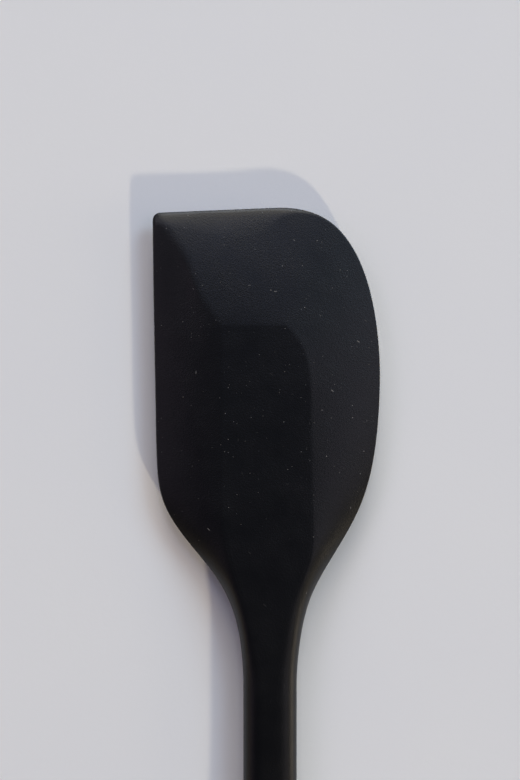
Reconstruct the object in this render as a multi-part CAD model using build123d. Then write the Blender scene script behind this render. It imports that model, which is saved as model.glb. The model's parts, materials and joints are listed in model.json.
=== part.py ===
from build123d import *
import math
import os

# Silicone spatula: a seamless black skin moulded over a stiff nylon core.
# Millimetres. Y runs along the handle towards the blade's tip, X across it and Z up.
# It lies on its back. Falls are measured down from the blade's tip and reaches out from
# the handle's middle line. At the end all moves so that the origin is under the middle.

# Whole object
overall_length = 260.0
thickness = 9.0
rim_thickness = 1.6
head_length = 120.0

# Blade: reaches of its two long edges, and its tip and square corner
straight_edge_reach = 29.4
bowed_edge_reach = 27.4
tip_place = 2.0
corner_fall = 1.3
corner_radius = 2.2

# Neck and handle
neck_width = 13.3
neck_length = 28.0
grip_width = 20.0
even_grip_length = 46.0
edge_round = 3.8

# Flat panel that the blade's bevels rise to
panel_left_reach = 12.0
panel_right_reach = 10.4
panel_fall = 29.6
panel_corner_radius = 0.8
panel_turn_place = 3.2
hip_bow = 1.2

# Hole to hang the spatula up by
hang_hole_radius = 4.0
hang_hole_from_end = 12.0
hang_hole_lip = 1.2

# Core: its thickness, and the silicone round it
core_thickness = 5.0
core_tip_thickness = 2.4
core_cover = 2.0
core_eye_lining = 1.6

# Core's tongue, inside the panel
tongue_margin = 3.0
tongue_corner_radius = 5.0

# Windows across the tongue, which the silicone fills
window_count = 5
window_height = 4.0
window_side_rail = 3.5
window_end_rail = 4.0

# Pockets in both faces of the core's grip, with cross ribs between them
pocket_count = 6
pocket_side_rail = 2.0
pocket_end_rail = 5.0
pocket_web = 1.8
pocket_rib = 2.6
pocket_corner_radius = 1.0
key_hole_radius = 1.2

# How far each cutting body runs past the faces that it cuts
overrun = 1.0

# Rim of the blade as shares of the head's length down and of the widening out
right_rim_shares = (
    (0.013, 0.234), (0.068, 0.619), (0.164, 0.870), (0.288, 0.990), (0.388, 1.000),
    (0.521, 0.928), (0.638, 0.721), (0.730, 0.417), (0.810, 0.171), (0.896, 0.046),
)
left_rim_shares = (
    (0.217, 0.985), (0.400, 0.967), (0.525, 0.952), (0.620, 0.864),
    (0.692, 0.622), (0.767, 0.305), (0.842, 0.108), (0.917, 0.024),
)

# Edge of the panel as shares of its length down and of its widening out
right_panel_shares = (
    (0.011, 0.385), (0.049, 0.670), (0.110, 0.890), (0.192, 0.958), (0.292, 0.978),
    (0.425, 0.992), (0.552, 1.000), (0.646, 0.885), (0.748, 0.462), (0.862, 0.175),
)
left_panel_shares = (
    (0.137, 1.000), (0.270, 1.000), (0.403, 1.000), (0.513, 0.989),
    (0.591, 0.891), (0.690, 0.650), (0.790, 0.377), (0.889, 0.180),
)

# Places down the panel where the core's tongue and its shoulders end, as such shares
tongue_end_share = 0.58
shoulder_end_share = 0.83

# How far each of those places has turned from a bevel, 0, to a rounded edge, 1
right_turn_shares = (0.0, 0.0, 0.0, 0.0, 0.0, 0.0, 0.05, 0.3, 0.7, 0.95)
left_turn_shares = (0.0, 0.0, 0.0, 0.0, 0.1, 0.4, 0.75, 0.95)

# Contour lines from rim to panel: how far up, how far in on a bevel and on a rounded
# edge, and how far the hip between the top and left bevels bows sideways
contour_shares = (
    (0.00, 0.000, 0.000, 0.0),
    (0.35, 0.270, 0.063, 1.0),
    (0.65, 0.550, 0.240, 0.4),
    (0.88, 0.830, 0.525, -0.4),
    (1.00, 1.000, 1.000, 0.0),
)

# Swell of the grip as shares of its length down and of its widening out
swell_shares = ((0.0, 0.0), (0.45, 0.40), (0.75, 0.82), (1.0, 1.0))

# Places that follow from the sizes
neck_half = neck_width / 2
grip_half = grip_width / 2
flat_neck_half = neck_half - edge_round
flat_grip_half = grip_half - edge_round
panel_length = head_length - panel_fall
swell_fall = head_length + neck_length
grip_fall = overall_length - even_grip_length
swell_length = grip_fall - swell_fall
end_centre_fall = overall_length - grip_half
hole_fall = overall_length - hang_hole_from_end
middle = thickness / 2
rim_top = middle + rim_thickness / 2
core_neck_half = neck_half - core_cover
core_grip_half = grip_half - core_cover
tongue_fall = panel_fall + tongue_margin
shoulder_fall = panel_fall + panel_length * tongue_end_share
core_neck_fall = panel_fall + panel_length * shoulder_end_share
tongue_length = shoulder_fall - tongue_fall
core_eye_radius = hang_hole_radius + core_eye_lining

up = Vector(0, 1)
down = Vector(0, -1)


def mix(start, end, share):
    """What lies a share of the way from start to end, for numbers and for vectors."""
    return start + (end - start) * share


def side(shares, reach, neck_reach, fall, length):
    """Points down the right side of the rim or of the panel."""
    return [Vector(mix(neck_reach, reach, out), -(fall + length * along)) for along, out in shares]


def mirrored(points):
    """The same points on the left side, from the bottom up."""
    return [Vector(-point.X, point.Y) for point in reversed(points)]


def chord_shares(points):
    """How far along the chain of points each of them lies, from 0 to 1."""
    steps = [(end - start).length for start, end in zip(points, points[1:])]
    return [sum(steps[:count]) / sum(steps) for count in range(len(points))]


def fair_curve(points, places, start, end):
    """Smooth curve through the points, at given places along it, with given ends."""
    start_speed = (points[1] - points[0]).length / (places[1] - places[0])
    end_speed = (points[-1] - points[-2]).length / (places[-1] - places[-2])
    tangents = [start * start_speed, end * end_speed]
    return Edge.make_spline(points, tangents=tangents, parameters=places, scale=False)


# Rim and panel, side by side, as chains of points that answer each other
rim_right = [Vector(tip_place, 0)]
rim_right += side(right_rim_shares, bowed_edge_reach, neck_half, 0, head_length)
rim_right += [Vector(neck_half, -head_length)]
rim_left = mirrored(side(left_rim_shares, straight_edge_reach, neck_half, 0, head_length))
rim_left = [Vector(-neck_half, -head_length), *rim_left, Vector(-straight_edge_reach, -corner_fall)]
panel_right = [Vector(panel_turn_place, -panel_fall)]
panel_right += side(right_panel_shares, panel_right_reach, flat_neck_half, panel_fall, panel_length)
panel_right += [Vector(flat_neck_half, -head_length)]
panel_left = mirrored(
    side(left_panel_shares, panel_left_reach, flat_neck_half, panel_fall, panel_length)
)
panel_left = [Vector(-flat_neck_half, -head_length), *panel_left, Vector(-panel_left_reach, -panel_fall)]
right_turns = (0, *right_turn_shares, 1)
left_turns = (1, *reversed(left_turn_shares), 0)
right_places = [mix(*pair, 1 / 2) for pair in zip(chord_shares(rim_right), chord_shares(panel_right))]
left_places = [mix(*pair, 1 / 2) for pair in zip(chord_shares(rim_left), chord_shares(panel_left))]
swell_places = [along for along, out in swell_shares]


def between(rim_points, panel_points, turns, way_in, round_way_in):
    """Points part of the way in from the rim to the panel."""
    ways = [mix(way_in, round_way_in, turn) for turn in turns]
    return [mix(*trio) for trio in zip(rim_points, panel_points, ways)]


def handle_edges(neck, grip):
    """Right side, round end and left side of the handle, down and up again."""
    swell = [
        Vector(mix(neck, grip, out), -(swell_fall + swell_length * along))
        for along, out in swell_shares
    ]
    right = [
        Edge.make_line(Vector(neck, -head_length), swell[0]),
        fair_curve(swell, swell_places, down, down),
        Edge.make_line(swell[-1], Vector(grip, -end_centre_fall)),
    ]
    left = [edge.mirror(Plane.YZ) for edge in reversed(right)]
    end = ThreePointArc(right[-1] @ 1, Vector(0, -(end_centre_fall + grip)), left[0] @ 1)
    return [*right, end.edge(), *left]


def contour(rise, way_in, round_way_in, bow):
    """One closed contour line of the upper half, at its own height."""
    right = between(rim_right, panel_right, right_turns, way_in, round_way_in)
    left = between(rim_left, panel_left, left_turns, way_in, round_way_in)
    hip_run = (panel_left[-1] - rim_left[-1]).normalized()
    corner = left[-1] + Vector(-hip_run.Y, hip_run.X) * hip_bow * bow
    radius = mix(corner_radius, panel_corner_radius, way_in)
    along_top = (right[0] - corner).normalized()
    along_left = (corner - left[-2]).normalized()
    corner_start = corner - along_left * radius
    corner_end = corner + along_top * radius
    neck = mix(neck_half, flat_neck_half, round_way_in)
    grip = mix(grip_half, flat_grip_half, round_way_in)
    edges = [
        Edge.make_line(corner_end, right[0]),
        fair_curve(right, right_places, along_top, down),
        *handle_edges(neck, grip),
        fair_curve([*left[:-1], corner_start], left_places, up, along_left),
        TangentArc(corner_start, corner_end, tangent=along_left).edge(),
    ]
    return Pos(0, 0, mix(rim_top, thickness, rise)) * Wire(edges)


def whole_body():
    """The outer shape with its hanging hole, as if it were silicone all through."""
    contours = [contour(*shares) for shares in contour_shares]
    upper = Solid.make_loft(contours)
    lower = upper.mirror(Plane.XY.offset(middle))
    band = extrude(Face(contours[0]), amount=rim_thickness, dir=(0, 0, -1))
    hole = Pos(0, -hole_fall, middle) * Cylinder(hang_hole_radius, thickness + 2 * overrun)
    body = upper + lower + band - hole
    lips = body.edges().filter_by(GeomType.CIRCLE).filter_by(
        lambda edge: math.isclose(edge.radius, hang_hole_radius)
    )
    return fillet(lips, hang_hole_lip)


def core_half_at(fall):
    """Half the core's width at a place down its handle."""
    share = (fall - swell_fall) / swell_length
    return mix(core_neck_half, core_grip_half, min(max(share, 0), 1))


def core_plan():
    """The core's outline from above: tongue, shoulders, neck, grip and eye."""
    tongue_left = panel_left_reach - tongue_margin
    tongue_right = panel_right_reach - tongue_margin
    points = [
        (tongue_right, -tongue_fall),
        (tongue_right, -shoulder_fall),
        (core_neck_half, -core_neck_fall),
        (core_neck_half, -swell_fall),
        (core_grip_half, -grip_fall),
        (core_grip_half, -hole_fall),
        (-core_grip_half, -hole_fall),
        (-core_grip_half, -grip_fall),
        (-core_neck_half, -swell_fall),
        (-core_neck_half, -core_neck_fall),
        (-tongue_left, -shoulder_fall),
        (-tongue_left, -tongue_fall),
    ]
    plan = make_face(Polyline(*points, close=True))
    ends = plan.vertices().group_by(Axis.Y)[-1]
    plan = fillet(ends, tongue_corner_radius)
    return plan + Pos(0, -hole_fall) * Circle(core_grip_half)


def core_wedge():
    """The core's thickness from the side, which thins towards the tongue's end."""
    tip, full = core_tip_thickness / 2, core_thickness / 2
    points = [
        (-tongue_fall + overrun, tip),
        (-tongue_fall, tip),
        (-core_neck_fall, full),
        (-overall_length, full),
        (-overall_length, -full),
        (-core_neck_fall, -full),
        (-tongue_fall, -tip),
        (-tongue_fall + overrun, -tip),
    ]
    profile = Plane.YZ * make_face(Polyline(*points, close=True))
    return extrude(profile, amount=straight_edge_reach, both=True)


def windows():
    """Slots through the tongue, where the silicone joins above and below."""
    tongue_width = panel_left_reach + panel_right_reach - 2 * tongue_margin
    tongue_middle = (panel_right_reach - panel_left_reach) / 2
    width = tongue_width - 2 * window_side_rail
    pitch = (tongue_length - 2 * window_end_rail) / window_count
    slots = []
    for number in range(window_count):
        fall = tongue_fall + window_end_rail + (number + 1 / 2) * pitch
        slot = Pos(tongue_middle, -fall, -core_thickness) * SlotOverall(width, window_height)
        slots.append(extrude(slot, amount=2 * core_thickness))
    return slots


def pocket_cuts():
    """Pockets in both faces of the grip, each with a hole through its web."""
    first = swell_fall + pocket_end_rail
    last = hole_fall - core_grip_half - pocket_rib
    pitch = (last - first) / pocket_count
    cuts = []
    for number in range(pocket_count):
        top = first + number * pitch
        bottom = top + pitch - pocket_rib
        wide_top = core_half_at(top) - pocket_side_rail
        wide_bottom = core_half_at(bottom) - pocket_side_rail
        corners = [(wide_top, -top), (wide_bottom, -bottom), (-wide_bottom, -bottom), (-wide_top, -top)]
        outline = make_face(Polyline(*corners, close=True))
        outline = fillet(outline.vertices(), pocket_corner_radius)
        upper = extrude(Pos(0, 0, pocket_web / 2) * outline, amount=core_thickness)
        key_hole = Pos(0, -(top + bottom) / 2, 0) * Cylinder(key_hole_radius, core_thickness)
        cuts += [upper, upper.mirror(Plane.XY), key_hole]
    return cuts


def nylon_core():
    """The stiff core: a thin tongue for the blade, a ribbed grip and an eye."""
    plan = extrude(core_plan(), amount=core_thickness, both=True)
    eye = Pos(0, -hole_fall, 0) * Cylinder(core_eye_radius, core_thickness + 2 * overrun)
    core = (plan & core_wedge()) - eye
    core -= windows()
    core -= pocket_cuts()
    return Pos(0, 0, middle) * core


body = whole_body()
core = nylon_core()
cover = body - core
box = body.bounding_box()
to_origin = Pos(-box.center().X, -box.center().Y, -box.min.Z)

os.makedirs("parts", exist_ok=True)
for name, piece in {"silicone_cover": cover, "nylon_core": core}.items():
    export_step(to_origin * piece, f"parts/{name}.step")
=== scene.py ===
import json
import math

import bmesh
import bpy
import numpy as np
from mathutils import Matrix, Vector


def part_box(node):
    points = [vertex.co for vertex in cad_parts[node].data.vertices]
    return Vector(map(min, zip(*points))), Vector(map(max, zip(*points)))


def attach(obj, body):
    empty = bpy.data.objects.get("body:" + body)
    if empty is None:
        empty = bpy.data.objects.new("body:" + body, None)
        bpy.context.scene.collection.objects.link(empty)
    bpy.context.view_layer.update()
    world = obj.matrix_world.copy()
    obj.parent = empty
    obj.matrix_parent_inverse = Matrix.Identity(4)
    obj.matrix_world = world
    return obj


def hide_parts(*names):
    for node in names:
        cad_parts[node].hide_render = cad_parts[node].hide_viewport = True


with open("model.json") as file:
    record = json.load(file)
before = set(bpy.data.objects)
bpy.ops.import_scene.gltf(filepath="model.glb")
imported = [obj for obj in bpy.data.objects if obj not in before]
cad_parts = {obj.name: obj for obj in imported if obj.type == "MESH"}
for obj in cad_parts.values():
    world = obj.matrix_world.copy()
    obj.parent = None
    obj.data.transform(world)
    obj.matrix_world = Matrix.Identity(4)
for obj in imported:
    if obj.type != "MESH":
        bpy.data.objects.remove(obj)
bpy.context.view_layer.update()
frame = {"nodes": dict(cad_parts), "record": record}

# Silicone spatula, lying flat, in metres. Y runs along the handle towards the blade's tip, X across it and
# Z up. Falls are measured down from the blade's tip, and reaches out from the handle's middle line.

# Places that come from the frame
millimetre = 0.001
low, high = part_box("silicone_cover")
thickness = high.z - low.z
hang_hole = frame["record"]["mounts"][0]
middle_x, hole_y, middle_z = hang_hole["pos_m"]
hang_hole_radius = hang_hole["dims"]["r_mm"] * millimetre

# Whole moulding
overall_length = 0.260
head_length = 0.120
rim_thickness = 0.0016
hole_to_end = 0.012
hang_hole_lip = 0.0012
hole_fall = overall_length - hole_to_end
tip_y = hole_y + hole_fall

# Blade: how far its edges reach, where its tip lies across, and its square corner
straight_edge_reach = 0.0294
bowed_edge_reach = 0.0274
tip_place = 0.0020
corner_fall = 0.0013
corner_radius = 0.0022

# Neck and handle
neck_half = 0.01330 / 2
neck_length = 0.028
grip_half = 0.0200 / 2
even_grip_length = 0.046
swell_fall = head_length + neck_length
grip_fall = overall_length - even_grip_length
end_centre_fall = overall_length - grip_half

# Rounded edges: how far in they reach on the neck and on the grip, and their fullness, 2 for an ellipse
neck_round = 0.0050
grip_round = 0.0038
edge_fullness = 2.6
flat_neck_half = neck_half - neck_round

# Flat panel that the bevels rise to, and how far the line round it is softened
panel_left_reach = 0.0120
panel_right_reach = 0.0104
panel_fall = 0.0296
panel_corner_radius = 0.0013
panel_turn_place = 0.0032
panel_length = head_length - panel_fall
panel_line_softness = 0.0005
handle_line_softness = 0.0003

# Rim of the blade as shares of the head's length down and of the widening out
right_rim_shares = (
    (0.013, 0.234), (0.068, 0.619), (0.164, 0.870), (0.288, 0.990), (0.388, 1.000),
    (0.521, 0.928), (0.638, 0.721), (0.730, 0.417), (0.810, 0.171), (0.896, 0.046),
)
left_rim_shares = (
    (0.217, 0.985), (0.400, 0.967), (0.525, 0.952), (0.620, 0.864),
    (0.692, 0.622), (0.767, 0.305), (0.842, 0.108), (0.917, 0.024),
)

# Edge of the panel as shares of its length down and of its widening out
right_panel_shares = (
    (0.011, 0.385), (0.049, 0.670), (0.110, 0.890), (0.192, 0.958), (0.292, 0.978),
    (0.425, 0.992), (0.552, 1.000), (0.646, 0.885), (0.748, 0.462), (0.862, 0.175),
)
left_panel_shares = (
    (0.137, 1.000), (0.270, 1.000), (0.403, 1.000), (0.513, 0.989),
    (0.591, 0.891), (0.690, 0.650), (0.790, 0.377), (0.889, 0.180),
)

# How far each of those places has turned from a bevel, 0, to a rounded edge, 1
right_turn_shares = (0.0, 0.0, 0.0, 0.0, 0.0, 0.0, 0.05, 0.3, 0.7, 0.95)
left_turn_shares = (0.0, 0.0, 0.0, 0.0, 0.1, 0.4, 0.75, 0.95)

# Share of the bevel that the rim's soft nose takes, at mesh columns counted right from the square corner
nose_shares = (
    (-8, 0.02), (0, 0.10), (8, 0.18), (20, 0.25), (25, 0.19), (30, 0.05), (35, 0.01), (46, 0.008),
)

# How full the bevel is at such columns, 0 for a straight slope and 1 for one that ends level at the panel
bulge_shares = ((-20, 0.4), (16, 0.4), (34, 0.12), (48, 0.15), (80, 0.4))

# Sideways bow of the hip between the top and left bevels: its size, and how much of it the hip has at
# shares of the way up
hip_bow = 0.0012
hip_bow_shares = ((0.0, 0.0), (0.35, 1.0), (0.65, 0.4), (0.88, -0.4), (1.0, 0.0))

# Swell of the grip as shares of its length down and of its widening out
grip_shares = ((0.0, 0.0), (0.45, 0.40), (0.75, 0.82), (1.0, 1.0))

# Mesh columns along each stretch of the outline, where the square corner has twice the number given, and
# how far down a side each of its columns lies
corner_columns = 4
top_columns = 24
turn_columns = 12
side_columns = 84
handle_columns = 60
eye_columns = 12
end_columns = 32
left_samples = np.linspace(0, 1, side_columns + 1)
right_samples = np.linspace(0, 1, side_columns + corner_columns + turn_columns + 1)

# Mesh rings round the rim, up the bevel, over the panel's line and round the hole's lip
rim_rings = 6
bevel_rings = 18
line_rings = 3
lip_rings = 6

# Share of the way up to an extra ring, close to the rim, that keeps the rim's line crisp
first_ring_share = 0.006

# Rounds of evening out the panel's rows, and how far before the hole's centre those rows end
even_rounds = 60
eye_clearance = 0.0085

# Points nearer to each other than this are joined where the two halves meet
joining_distance = 1e-7

# Direction down the blade and the handle, in the flat
down = np.array((0, -1))


def mix(start, end, share):
    """What lies a share of the way from start to end."""
    return start + (end - start) * share


def unit(vectors):
    """The same directions with length 1."""
    return vectors / np.linalg.norm(vectors, axis=-1, keepdims=True)


def curve_through(places, points, start_slope, end_slope, samples):
    """Smooth curve through points at places along it, with given slopes at its ends."""
    places = np.asarray(places, float)
    points = np.asarray(points, float)
    steps = np.diff(places)
    jumps = np.diff(points, axis=0) / steps[:, None]
    count = len(places)
    matrix = np.eye(count)
    answer = np.zeros_like(points)
    answer[0] = start_slope
    answer[-1] = end_slope
    for i in range(1, count - 1):
        matrix[i, i - 1:i + 2] = steps[i], 2 * (steps[i - 1] + steps[i]), steps[i - 1]
        answer[i] = 3 * (steps[i] * jumps[i - 1] + steps[i - 1] * jumps[i])
    slopes = np.linalg.solve(matrix, answer)
    span = np.clip(np.searchsorted(places, samples, side="right") - 1, 0, count - 2)
    step = steps[span][:, None]
    t = (np.asarray(samples) - places[span])[:, None] / step
    start, end = points[span], points[span + 1]
    bend = t * (1 - t) * step * ((1 - t) * slopes[span] - t * slopes[span + 1])
    return start + (end - start) * t * t * (3 - 2 * t) + bend


def fair_curve(points, places, start, end, samples):
    """Curve through the points whose end slopes follow the directions start and end."""
    start_speed = np.linalg.norm(points[1] - points[0]) / (places[1] - places[0])
    end_speed = np.linalg.norm(points[-1] - points[-2]) / (places[-1] - places[-2])
    return curve_through(places, points, start * start_speed, end * end_speed, samples)


def rounded_turn(start, corner, end, steps):
    """Points of a smooth arc from start to end that is drawn towards the corner between them."""
    t = np.linspace(0, 1, steps + 1)[:, None]
    return (1 - t) ** 2 * start + 2 * t * (1 - t) * corner + t ** 2 * end


def chord_shares(points):
    """How far along the chain of points each of them lies, from 0 to 1."""
    lengths = np.linalg.norm(np.diff(points, axis=0), axis=1)
    return np.concatenate([[0], np.cumsum(lengths)]) / lengths.sum()


def shared_places(rim_side, panel_side):
    """Places along a side that suit the rim and the panel alike: midway between those of each."""
    return mix(chord_shares(rim_side), chord_shares(panel_side), 0.5)


def side(shares, reach, neck_reach, fall, length, hand):
    """Points down one side of the rim or of the panel: hand is 1 on the right and -1 on the left."""
    return [(hand * mix(neck_reach, reach, out), -(fall + length * along)) for along, out in shares]


def rim_points():
    """The rim's square corner, its right side from the tip, and its left side below the corner."""
    corner = np.array((-straight_edge_reach, -corner_fall))
    right = np.array([
        (tip_place, 0),
        *side(right_rim_shares, bowed_edge_reach, neck_half, 0, head_length, 1),
        (neck_half, -head_length),
    ])
    left = np.array([
        *side(left_rim_shares, straight_edge_reach, neck_half, 0, head_length, -1),
        (-neck_half, -head_length),
    ])
    return corner, right, left


def panel_points():
    """The same three of the panel's edge, whose right side starts where its top turns down."""
    corner = np.array((-panel_left_reach, -panel_fall))
    right = np.array([
        (panel_turn_place, -panel_fall),
        *side(right_panel_shares, panel_right_reach, flat_neck_half, panel_fall, panel_length, 1),
        (flat_neck_half, -head_length),
    ])
    left = np.array([
        *side(left_panel_shares, panel_left_reach, flat_neck_half, panel_fall, panel_length, -1),
        (-flat_neck_half, -head_length),
    ])
    return corner, right, left


def handle_half_at(falls):
    """Half the handle's width at each fall, with its smooth swell to the grip."""
    halves_and_falls = np.array([
        (mix(neck_half, grip_half, out), mix(swell_fall, grip_fall, along)) for along, out in grip_shares
    ])
    places = [along for along, out in grip_shares]
    straight_on = np.array((0, 1))
    samples = np.linspace(0, 1, handle_columns)
    swell = fair_curve(halves_and_falls, places, straight_on, straight_on, samples)
    return np.interp(falls, swell[:, 1], swell[:, 0])


def handle_side(neck_inset, grip_inset):
    """Points down the handle's right side, set in by what is given for the neck and for the grip."""
    eye_fall = hole_fall - eye_clearance
    falls = np.concatenate([
        np.linspace(head_length, eye_fall, handle_columns + 1)[1:],
        np.linspace(eye_fall, end_centre_fall, eye_columns + 1)[1:],
    ])
    half = handle_half_at(falls)
    swelling = (half - neck_half) / (grip_half - neck_half)
    return np.column_stack([half - mix(neck_inset, grip_inset, swelling), -falls])


def handle_end(radius):
    """Points round the handle's end from its right side to its left."""
    angles = np.linspace(0, -math.pi, end_columns + 1)[1:]
    return np.column_stack([radius * np.cos(angles), -end_centre_fall + radius * np.sin(angles)])


def closed_outline(points, places, radius, neck_inset, grip_inset):
    """Outline of the rim or of the panel, clockwise from the middle of the blade's square corner."""
    corner, right, left = points
    places_right, places_left = places
    along_top = unit(right[0] - corner)
    along_left = unit(corner - left[0])
    corner_start = corner - along_left * radius
    corner_end = corner + along_top * radius
    arc = rounded_turn(corner_start, corner, corner_end, 2 * corner_columns)
    top = mix(corner_end, right[0], np.linspace(0, 1, top_columns + 1)[1:, None])
    right_side = fair_curve(right, places_right, along_top, down, right_samples)[1:]
    left_points = np.vstack([corner_start, left])
    left_side = fair_curve(left_points, places_left, -along_left, down, left_samples)
    handle = handle_side(neck_inset, grip_inset)
    back = (handle * (-1, 1))[-2::-1]
    return np.vstack([
        arc[corner_columns:], top, right_side, handle, handle_end(grip_half - grip_inset), back,
        left_side[:0:-1], arc[:corner_columns],
    ])


def column_shares(places_right, places_left):
    """Each column's turn from bevel to rounded edge, and its share of the hip's bow."""
    right_turn = np.interp(right_samples, places_right, (0, *right_turn_shares, 1))[1:]
    left_turn = np.interp(left_samples, places_left, (0, *left_turn_shares, 1))[:0:-1]
    along_handle = 2 * (handle_columns + eye_columns) + end_columns - 1
    turn = np.concatenate([
        np.zeros(corner_columns + 1 + top_columns), right_turn, np.ones(along_handle),
        left_turn, np.zeros(corner_columns),
    ])
    top_bow = np.linspace(1, 0, top_columns + 1)[1:]
    left_bow = np.interp(left_samples, (0, places_left[1]), (1, 0))[:0:-1]
    bow = np.concatenate([
        np.ones(corner_columns + 1), top_bow, np.zeros(len(right_turn) + along_handle),
        left_bow, np.ones(corner_columns),
    ])
    return turn, bow


def outlines():
    """Rim and panel edge side by side, column by column, with each column's turn and share of the bow."""
    rim, panel = rim_points(), panel_points()
    rim_corner, rim_right, rim_left = rim
    panel_corner, panel_right, panel_left = panel
    places_right = shared_places(rim_right, panel_right)
    places_left = shared_places(np.vstack([rim_corner, rim_left]), np.vstack([panel_corner, panel_left]))
    places = places_right, places_left
    rim_outline = closed_outline(rim, places, corner_radius, 0, 0)
    panel_outline = closed_outline(panel, places, panel_corner_radius, neck_round, grip_round)
    turn, bow = column_shares(places_right, places_left)
    return rim_outline, panel_outline, turn, bow


def outward(points):
    """Unit vectors that point out of the closed, clockwise chain at each of its points."""
    along = np.roll(points, -1, axis=0) - np.roll(points, 1, axis=0)
    return unit(np.column_stack([-along[:, 1], along[:, 0]]))


def ways_in(rise, turn, bulge):
    """Share of the way in from the rim to the panel at a share of the height."""
    on_bevel = (1 + bulge - np.sqrt((1 + bulge) ** 2 - 4 * bulge * rise)) / (2 * bulge)
    on_round = 1 - np.maximum(1 - rise ** 2, 0) ** (1 / edge_fullness)
    return mix(on_bevel, on_round, turn)


def by_column(stated, count):
    """Values stated at a few columns, smoothly carried to every column round the outline."""
    places, values = np.array(stated).T
    from_corner = (np.arange(count) + count // 2) % count - count // 2
    samples = np.clip(from_corner, places[0], places[-1])
    return curve_through(places, values[:, None], 0, 0, samples)[:, 0]


def spread_corner(loop):
    """The same loop with the crowded points of its square corner spread over a wider arc."""
    reach = 2 * corner_columns
    arc = rounded_turn(loop[-reach], loop[0], loop[reach], 2 * reach)
    return np.vstack([arc[reach:], loop[reach + 1:-reach], arc[:reach]])


class Slope:
    """The skin between the rim and the flat panel, column by column: bevels and rounded edges."""

    def __init__(self):
        """Works out each column's width and steepness, its softened line and where its nose ends."""
        self.rim, self.panel, self.turn, self.bow = outlines()
        self.out_of_panel = outward(self.panel)
        self.span = np.sum((self.rim - self.panel) * self.out_of_panel, axis=1)
        self.rim_top = (thickness + rim_thickness) / 2
        self.height = thickness - self.rim_top
        self.bulge = by_column(bulge_shares, len(self.rim))
        self.steepness = self.height * (1 - self.bulge) / self.span
        self.softness = mix(panel_line_softness, handle_line_softness, self.turn)
        nose = by_column(nose_shares, len(self.rim))
        self.nose_rise = (1 - self.turn) * nose * (1 + self.bulge * (1 - nose))

    def hip_shift(self, rise):
        """How far the hip's bow moves the points sideways at given shares of the height."""
        hip_run = unit(self.panel[0] - self.rim[0])
        hip_side = np.array((-hip_run[1], hip_run[0]))
        places, sizes = np.array(hip_bow_shares).T
        bows = curve_through(places, sizes[:, None], 0, 0, rise)[:, 0] * self.bow * hip_bow
        return bows[:, None] * hip_side

    def at(self, rise):
        """Points and heights of one ring at given shares of the height."""
        way = ways_in(rise, self.turn, self.bulge)
        flat = mix(self.rim, self.panel, way[:, None]) + self.hip_shift(rise)
        away = (1 - way) * self.span
        drop = self.steepness * np.maximum(self.softness - away, 0) ** 2 / (4 * self.softness)
        return flat, self.rim_top + self.height * rise - drop * (1 - self.turn)

    def round_the_nose(self):
        """Rings from the rim's middle round its nose."""
        rings = []
        end_flat, end_height = self.at(self.nose_rise)
        for angle in np.linspace(0, math.pi / 2, rim_rings + 1)[:-1]:
            share = 1 - math.cos(angle)
            heights = middle_z + rim_thickness / 2 * math.sin(angle) + (end_height - self.rim_top) * share
            rings.append(np.column_stack([mix(self.rim, end_flat, share), heights]))
        return rings

    def up_the_bevel(self):
        """Rings up the bevels and the rounded edges, each rising less than the one before."""
        rings = []
        for t in (0, first_ring_share, *np.linspace(0, 1, bevel_rings + 1)[1:]):
            rise = mix(math.sin(math.pi / 2 * t), 1, self.nose_rise * (1 - t) ** 2)
            rings.append(np.column_stack(self.at(rise)))
        return rings

    def on_to_the_panel(self):
        """Rings over the softened line on to the flat panel."""
        rings = []
        for t in np.linspace(0, 1, line_rings + 1)[1:]:
            flat = self.panel - self.out_of_panel * (self.softness * t)[:, None]
            flat = mix(flat, spread_corner(flat), t)
            drop = self.steepness * self.softness * (1 - t) ** 2 / 4 * (1 - self.turn)
            rings.append(np.column_stack([flat, thickness - drop]))
        return rings

    def rings(self):
        """All rings from the rim's middle to just inside the panel's edge, for the upper half."""
        return [*self.round_the_nose(), *self.up_the_bevel(), *self.on_to_the_panel()]


class Skin:
    """A mesh in the making: vertices and four-sided faces."""

    def __init__(self):
        self.points = []
        self.faces = []

    def add(self, points):
        """Adds a row of points and returns their numbers."""
        first = len(self.points)
        self.points.extend(map(tuple, points))
        return list(range(first, first + len(points)))

    def join(self, lower, upper, closed):
        """Adds a strip of faces between two rows of as many points."""
        count = len(lower)
        for i in range(count if closed else count - 1):
            j = (i + 1) % count
            self.faces.append((lower[i], lower[j], upper[j], upper[i]))


def panel_grid(ring):
    """Rows of points across the panel from its top edge down to the eye, evened out.

    The first row follows the ring from the middle of the square corner over the top and the turn beyond it.
    The rows' ends follow the ring down both sides of the blade and of the handle.
    """
    across = top_columns + corner_columns + turn_columns
    rows = side_columns + corner_columns + handle_columns
    count = len(ring)
    top = ring[:across + 1]
    shares = np.linspace(0, 1, across + 1)[:, None]

    # The rows keep less and less of the top edge's own shape, and none of it below half way
    top_shape = top - mix(top[0], top[-1], shares)
    kept_shares = np.maximum(1 - np.linspace(0, 2, rows + 1), 0) ** 2
    grid = np.array([
        mix(ring[(count - row) % count], ring[across + row], shares) + top_shape * kept_shares[row]
        for row in range(rows + 1)
    ])
    for _ in range(even_rounds):
        beside = grid[1:-1, :-2] + grid[1:-1, 2:]
        beyond = grid[:-2, 1:-1] + grid[2:, 1:-1]
        evened = (beside + beyond) / 4
        grid[1:-1, 1:-1] = mix(grid[1:-1, 1:-1], evened, kept_shares[1:-1, None, None])
    return grid


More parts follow.
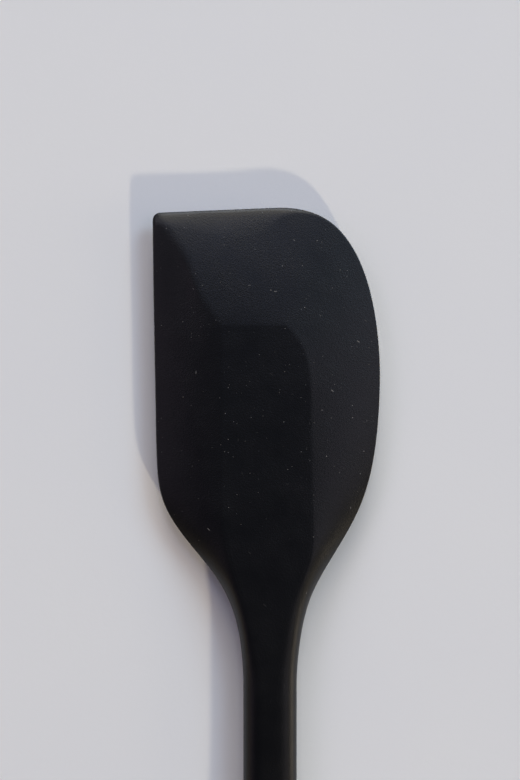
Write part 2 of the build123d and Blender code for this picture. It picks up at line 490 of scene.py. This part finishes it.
def fill_panel(skin, grid, loop):
    """Fills the flat panel with rows of faces down to the eye. Returns the loop round the eye."""
    rows, across = grid.shape[0] - 1, grid.shape[1] - 1
    count = len(loop)
    above = loop[:across + 1]
    for row in range(1, rows + 1):
        inner = skin.add(grid[row, 1:-1])
        below = [loop[(count - row) % count], *inner, loop[across + row]]
        skin.join(above, below, closed=False)
        above = below
    return [*above, *loop[across + rows + 1:count - rows]]


def eye_rows(around):
    """Rows of points from those round the eye to the hole's lip and down its wall."""
    centre = np.array((0, -hole_fall))
    flat = around - centre
    heading = unit(flat)
    lip_reach = hang_hole_radius + hang_hole_lip

    def level_row(places, level):
        """A row of points at one height, from places counted from the hole's centre."""
        return np.column_stack([places + centre, np.full(len(flat), level)])

    rows = [level_row(mix(flat, heading * lip_reach, 0.5), thickness)]
    for angle in np.linspace(0, math.pi / 2, lip_rings + 1):
        reach = lip_reach - hang_hole_lip * math.sin(angle)
        rows.append(level_row(heading * reach, thickness - hang_hole_lip * (1 - math.cos(angle))))
    rows.append(level_row(heading * hang_hole_radius, middle_z))
    return rows


def upper_skin():
    """The outer skin's upper half, from the rim's middle to the middle of the hole's wall."""
    skin = Skin()
    rings = Slope().rings()
    loops = [skin.add(ring) for ring in rings]
    for lower, upper in zip(loops, loops[1:]):
        skin.join(lower, upper, closed=True)
    above = fill_panel(skin, panel_grid(rings[-1]), loops[-1])
    around = np.array([skin.points[i][:2] for i in above])
    for row in eye_rows(around):
        below = skin.add(row)
        skin.join(above, below, closed=True)
        above = below
    return skin


def silicone_skin():
    """The whole outer skin, with its upper half mirrored below the rim's middle."""
    skin = upper_skin()
    upper = np.array(skin.points) + (middle_x, tip_y, 0)
    lower = upper * (1, 1, -1) + (0, 0, thickness)
    shift = len(upper)
    faces = skin.faces + [tuple(i + shift for i in reversed(face)) for face in skin.faces]
    mesh = bpy.data.meshes.new("silicone_skin")
    mesh.from_pydata(np.vstack([upper, lower]).tolist(), [], faces)
    return finished_piece("silicone_skin", mesh)


def finished_piece(name, mesh):
    """Joins the halves, turns all faces outwards, shades them smooth and makes the object."""
    work = bmesh.new()
    work.from_mesh(mesh)
    bmesh.ops.remove_doubles(work, verts=work.verts, dist=joining_distance)
    bmesh.ops.recalc_face_normals(work, faces=work.faces)
    work.to_mesh(mesh)
    work.free()
    mesh.shade_smooth()
    piece = bpy.data.objects.new(name, mesh)
    bpy.context.scene.collection.objects.link(piece)
    return piece


def new_group(name, inputs, outputs):
    """A node group with named sockets for numbers, and for a place where the name is Place."""
    tree = bpy.data.node_groups.new(name, "ShaderNodeTree")
    for direction, names in (("INPUT", inputs), ("OUTPUT", outputs)):
        for socket in names:
            kind = "NodeSocketVector" if socket == "Place" else "NodeSocketFloat"
            tree.interface.new_socket(name=socket, in_out=direction, socket_type=kind)
    given = tree.nodes.new("NodeGroupInput").outputs
    result = tree.nodes.new("NodeGroupOutput").inputs
    return tree, given, result


def feed(tree, socket, value):
    """Gives a socket its value: a number, or another node's output."""
    if isinstance(value, bpy.types.NodeSocket):
        tree.links.new(value, socket)
    else:
        socket.default_value = value


def reckon(tree, operation, first, second):
    """Output of a sum on two values."""
    node = tree.nodes.new("ShaderNodeMath")
    node.operation = operation
    feed(tree, node.inputs[0], first)
    feed(tree, node.inputs[1], second)
    return node.outputs["Value"]


def noise(tree, place, size, detail):
    """Smooth random values from 0 to 1 whose blots have the given size."""
    node = tree.nodes.new("ShaderNodeTexNoise")
    feed(tree, node.inputs["Vector"], place)
    feed(tree, node.inputs["Scale"], reckon(tree, "DIVIDE", 1, size))
    feed(tree, node.inputs["Detail"], detail)
    return node.outputs["Fac"]


def surface_place(tree):
    """Place on the piece in its own metres."""
    return tree.nodes.new("ShaderNodeTexCoord").outputs["Object"]


def moulded_grain():
    """Group: the fine grain that a mould leaves, deeper in some patches than in others."""
    inputs = ("Grain Size", "Patch Size")
    tree, given, result = new_group("moulded_grain", inputs, ("Height", "Patches"))
    place = surface_place(tree)
    patches = noise(tree, place, given["Patch Size"], detail=2)
    grain = noise(tree, place, given["Grain Size"], detail=1)
    feed(tree, result["Height"], reckon(tree, "MULTIPLY", grain, patches))
    feed(tree, result["Patches"], patches)
    return tree


def loose_specks():
    """Group: specks, one in each filled cell of space, seen where the surface cuts it and often faint."""
    smallest_share = 0.5
    inputs = ("Place", "Cell Size", "Speck Radius", "Filled Share", "Faint Power")
    tree, given, result = new_group("loose_specks", inputs, ("Mask",))
    cells = tree.nodes.new("ShaderNodeTexVoronoi")
    feed(tree, cells.inputs["Vector"], given["Place"])
    feed(tree, cells.inputs["Scale"], reckon(tree, "DIVIDE", 1, given["Cell Size"]))
    chances = tree.nodes.new("ShaderNodeSeparateColor")
    feed(tree, chances.inputs["Color"], cells.outputs["Color"])
    away = reckon(tree, "MULTIPLY", cells.outputs["Distance"], given["Cell Size"])
    size_share = reckon(tree, "ADD", chances.outputs["Green"], smallest_share)
    radius = reckon(tree, "MULTIPLY", given["Speck Radius"], size_share)
    filled = reckon(tree, "LESS_THAN", chances.outputs["Red"], given["Filled Share"])
    within = reckon(tree, "MULTIPLY", filled, reckon(tree, "LESS_THAN", away, radius))
    strength = reckon(tree, "POWER", chances.outputs["Blue"], given["Faint Power"])
    feed(tree, result["Mask"], reckon(tree, "MULTIPLY", within, strength))
    return tree


def placed(tree, group, values):
    """Outputs of a group that is placed in a tree with its own values."""
    node = tree.nodes.new("ShaderNodeGroup")
    node.node_tree = group
    for name, value in values.items():
        feed(tree, node.inputs[name], value)
    return node.outputs


def drawn_out(tree, place, degrees, stretch):
    """The place as seen by marks that are drawn out along a direction in the flat."""
    node = tree.nodes.new("ShaderNodeMapping")
    node.vector_type = "TEXTURE"
    feed(tree, node.inputs["Vector"], place)
    node.inputs["Rotation"].default_value = (0, 0, math.radians(degrees))
    node.inputs["Scale"].default_value = (stretch, 1, 1)
    return node.outputs["Vector"]


def blended(tree, share, first, second):
    """Colour a share of the way from first to second."""
    node = tree.nodes.new("ShaderNodeMix")
    node.data_type = "RGBA"
    feed(tree, node.inputs["Factor"], share)
    node.inputs["A"].default_value = first
    node.inputs["B"].default_value = second
    return node.outputs["Result"]


def ranged(tree, value, low_end, high_end):
    """A value from 0 to 1 brought to between two ends."""
    node = tree.nodes.new("ShaderNodeMapRange")
    feed(tree, node.inputs["Value"], value)
    node.inputs["To Min"].default_value = low_end
    node.inputs["To Max"].default_value = high_end
    return node.outputs["Result"]


def raised(tree, shader, height, depth):
    """Bumps of the given depth on a material's surface."""
    node = tree.nodes.new("ShaderNodeBump")
    feed(tree, node.inputs["Height"], height)
    node.inputs["Distance"].default_value = depth
    feed(tree, shader.inputs["Normal"], node.outputs["Normal"])


def new_material(name):
    """A material with its node tree and its main shader."""
    material = bpy.data.materials.new(name)
    material.use_nodes = True
    return material, material.node_tree, material.node_tree.nodes["Principled BSDF"]


grain_group = moulded_grain()
speck_group = loose_specks()

# Dust: the shares of the cells that it fills in the emptiest and fullest patches, where less than 0 is none
# and more than 1 is all, the fall at which it runs out, and how fast its largest share grows from there
# towards the tip, in shares a metre
emptiest_share, fullest_share = -1.0, 1.9
dust_fall = 0.72 * head_length
dust_growth = 16

# Lint: the directions that it lies in, as degrees from across, and how drawn out it is in each
lint_lies = ((5, 5), (85, 5), (140, 6))


def dusty_share(tree, place, patches):
    """Share of the cells that hold dust, which differs by patches and runs out at the shoulders."""
    parts = tree.nodes.new("ShaderNodeSeparateXYZ")
    feed(tree, parts.inputs["Vector"], place)
    towards_tip = reckon(tree, "SUBTRACT", parts.outputs["Y"], tip_y - dust_fall)
    most = reckon(tree, "MULTIPLY", towards_tip, dust_growth)
    return reckon(tree, "MINIMUM", ranged(tree, patches, emptiest_share, fullest_share), most)


def dust_and_lint(tree, patches):
    """Mask of the dust, and of the short lint that lies among it."""
    place = surface_place(tree)
    mask = placed(tree, speck_group, {
        "Place": place, "Cell Size": 0.00105, "Speck Radius": 0.000085,
        "Filled Share": dusty_share(tree, place, patches), "Faint Power": 1.3,
    })["Mask"]
    for degrees, stretch in lint_lies:
        lint = placed(tree, speck_group, {
            "Place": drawn_out(tree, place, degrees, stretch), "Cell Size": 0.0017,
            "Speck Radius": 0.00007, "Filled Share": 0.7, "Faint Power": 2,
        })["Mask"]
        mask = reckon(tree, "MAXIMUM", mask, lint)
    return mask


def silicone_finish():
    """Matte black silicone: the mould's fine grain, and a little pale dust and lint."""
    black, pale = (0.0004, 0.0008, 0.0018, 1), (0.23, 0.22, 0.21, 1)
    smoothest, roughest = 0.36, 0.46
    grain_depth = 0.00007
    material, tree, shader = new_material("matte_black_silicone")
    grain = placed(tree, grain_group, {"Grain Size": 0.00038, "Patch Size": 0.007})
    dust = dust_and_lint(tree, grain["Patches"])
    feed(tree, shader.inputs["Base Color"], blended(tree, dust, black, pale))
    matte = ranged(tree, grain["Patches"], smoothest, roughest)
    feed(tree, shader.inputs["Roughness"], reckon(tree, "MAXIMUM", matte, dust))
    shader.inputs["IOR"].default_value = 1.41
    raised(tree, shader, grain["Height"], grain_depth)
    return material


def nylon_finish():
    """Black glass-filled nylon: a coarser grain, and pale glass strands that run with the flow."""
    black, glassy = (0.02, 0.02, 0.021, 1), (0.06, 0.06, 0.062, 1)
    smoothest, roughest = 0.5, 0.66
    grain_depth = 0.00006
    flow_degrees, strand_stretch = 90, 12
    material, tree, shader = new_material("glass_filled_nylon")
    grain = placed(tree, grain_group, {"Grain Size": 0.0006, "Patch Size": 0.012})
    strands = placed(tree, speck_group, {
        "Place": drawn_out(tree, surface_place(tree), flow_degrees, strand_stretch),
        "Cell Size": 0.0009, "Speck Radius": 0.00006, "Filled Share": 0.7, "Faint Power": 1,
    })["Mask"]
    feed(tree, shader.inputs["Base Color"], blended(tree, strands, black, glassy))
    feed(tree, shader.inputs["Roughness"], ranged(tree, grain["Patches"], smoothest, roughest))
    raised(tree, shader, grain["Height"], grain_depth)
    return material


def paper_finish():
    """Pale, matte and nearly even paper, with a faint grain."""
    dim, bright = (0.78, 0.78, 0.785, 1), (0.81, 0.805, 0.79, 1)
    grain_depth = 0.00003
    material, tree, shader = new_material("pale_paper")
    grain = placed(tree, grain_group, {"Grain Size": 0.0012, "Patch Size": 0.06})
    feed(tree, shader.inputs["Base Color"], blended(tree, grain["Patches"], dim, bright))
    shader.inputs["Roughness"].default_value = 0.9
    raised(tree, shader, grain["Height"], grain_depth)
    return material


def paper_floor():
    """Plain square floor that the spatula lies on."""
    reach = 1.5
    mesh = bpy.data.meshes.new("floor")
    corners = [(-reach, -reach, 0), (reach, -reach, 0), (reach, reach, 0), (-reach, reach, 0)]
    mesh.from_pydata(corners, [], [(0, 1, 2, 3)])
    mesh.materials.append(paper_finish())
    floor = bpy.data.objects.new("floor", mesh)
    bpy.context.scene.collection.objects.link(floor)


# Camera: the photograph looks straight down, with the handle's middle line and the blade's tip at the
# column and row named here, and a pixel is this large at the rim's height
pixel = 0.00025
picture_columns, picture_rows = 520, 780
middle_line_column, tip_row = 270, 207.7
camera_height = 0.32
view_x = middle_x + (picture_columns / 2 - middle_line_column) * pixel
view_y = tip_y - (picture_rows / 2 - tip_row) * pixel


def photo_camera():
    """Camera straight above the blade, whose lens takes in the picture's height at the rim."""
    data = bpy.data.cameras.new("photo_camera")
    data.lens = data.sensor_width * camera_height / (picture_rows * pixel)
    camera = bpy.data.objects.new("photo_camera", data)
    camera.location = (view_x, view_y, middle_z + camera_height)
    bpy.context.scene.collection.objects.link(camera)
    bpy.context.scene.camera = camera


# Lights round the blade: name, degrees from +X towards +Y, degrees down from straight up, size, watts
# and colour
light_distance = 6
wide, small = 2.6, 0.29
studio_lights = (
    ("window_beyond_tip", 90, 74, wide, 185, (0.90, 0.94, 1.00)),
    ("wall_beyond_tip", 90, 50, wide, 58, (1.00, 0.84, 0.50)),
    ("sky_beyond_tip", 90, 35, wide, 47, (0.50, 0.60, 1.00)),
    ("key_beyond_right", 40, 53, wide, 134, (0.58, 0.79, 1.00)),
    ("warm_lamp_by_handle", 299, 68, small, 160, (1.00, 0.87, 0.64)),
    ("low_right", 350, 80, wide, 86, (1.00, 0.85, 0.66)),
    ("fill_beyond_left", 135, 50, wide, 46, (0.90, 0.86, 1.00)),
    ("fill_left", 180, 50, wide, 19, (0.96, 0.74, 1.00)),
    ("fill_low_left", 206, 78, wide, 19, (1.00, 0.80, 0.60)),
    ("fill_high_right", 0, 35, wide, 27, (0.95, 0.84, 1.00)),
)


def soft_light(name, round_degrees, down_degrees, size, watts, colour):
    """Square area light at its bearing from the blade, facing it."""
    blade = Vector((view_x, view_y, 0))
    bearing = math.radians(round_degrees)
    tilt = math.radians(down_degrees)
    heading = Vector((
        math.sin(tilt) * math.cos(bearing),
        math.sin(tilt) * math.sin(bearing),
        math.cos(tilt),
    ))
    data = bpy.data.lights.new(name, "AREA")
    data.size = size
    data.energy = watts
    data.color = colour
    light = bpy.data.objects.new(name, data)
    light.location = blade + heading * light_distance
    light.rotation_euler = (-heading).to_track_quat("-Z", "Y").to_euler()
    bpy.context.scene.collection.objects.link(light)


def pale_room():
    """Pale room round the floor, which shows behind it but lights nothing."""
    world = bpy.data.worlds.new("room")
    world.use_nodes = True
    tree = world.node_tree
    room = tree.nodes["Background"]
    room.inputs["Color"].default_value = (0.58, 0.58, 0.60, 1)
    feed(tree, room.inputs["Strength"], tree.nodes.new("ShaderNodeLightPath").outputs["Is Camera Ray"])
    bpy.context.scene.world = world


def studio():
    """The soft lights and the room, shown with Blender's plain view of colours."""
    for light in studio_lights:
        soft_light(*light)
    pale_room()
    bpy.context.scene.view_settings.view_transform = "Standard"


skin = silicone_skin()
skin.data.materials.append(silicone_finish())
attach(skin, "root")
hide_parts("silicone_cover")

core = frame["nodes"]["nylon_core"]
core.data.materials.clear()
core.data.materials.append(nylon_finish())

paper_floor()
photo_camera()
studio()
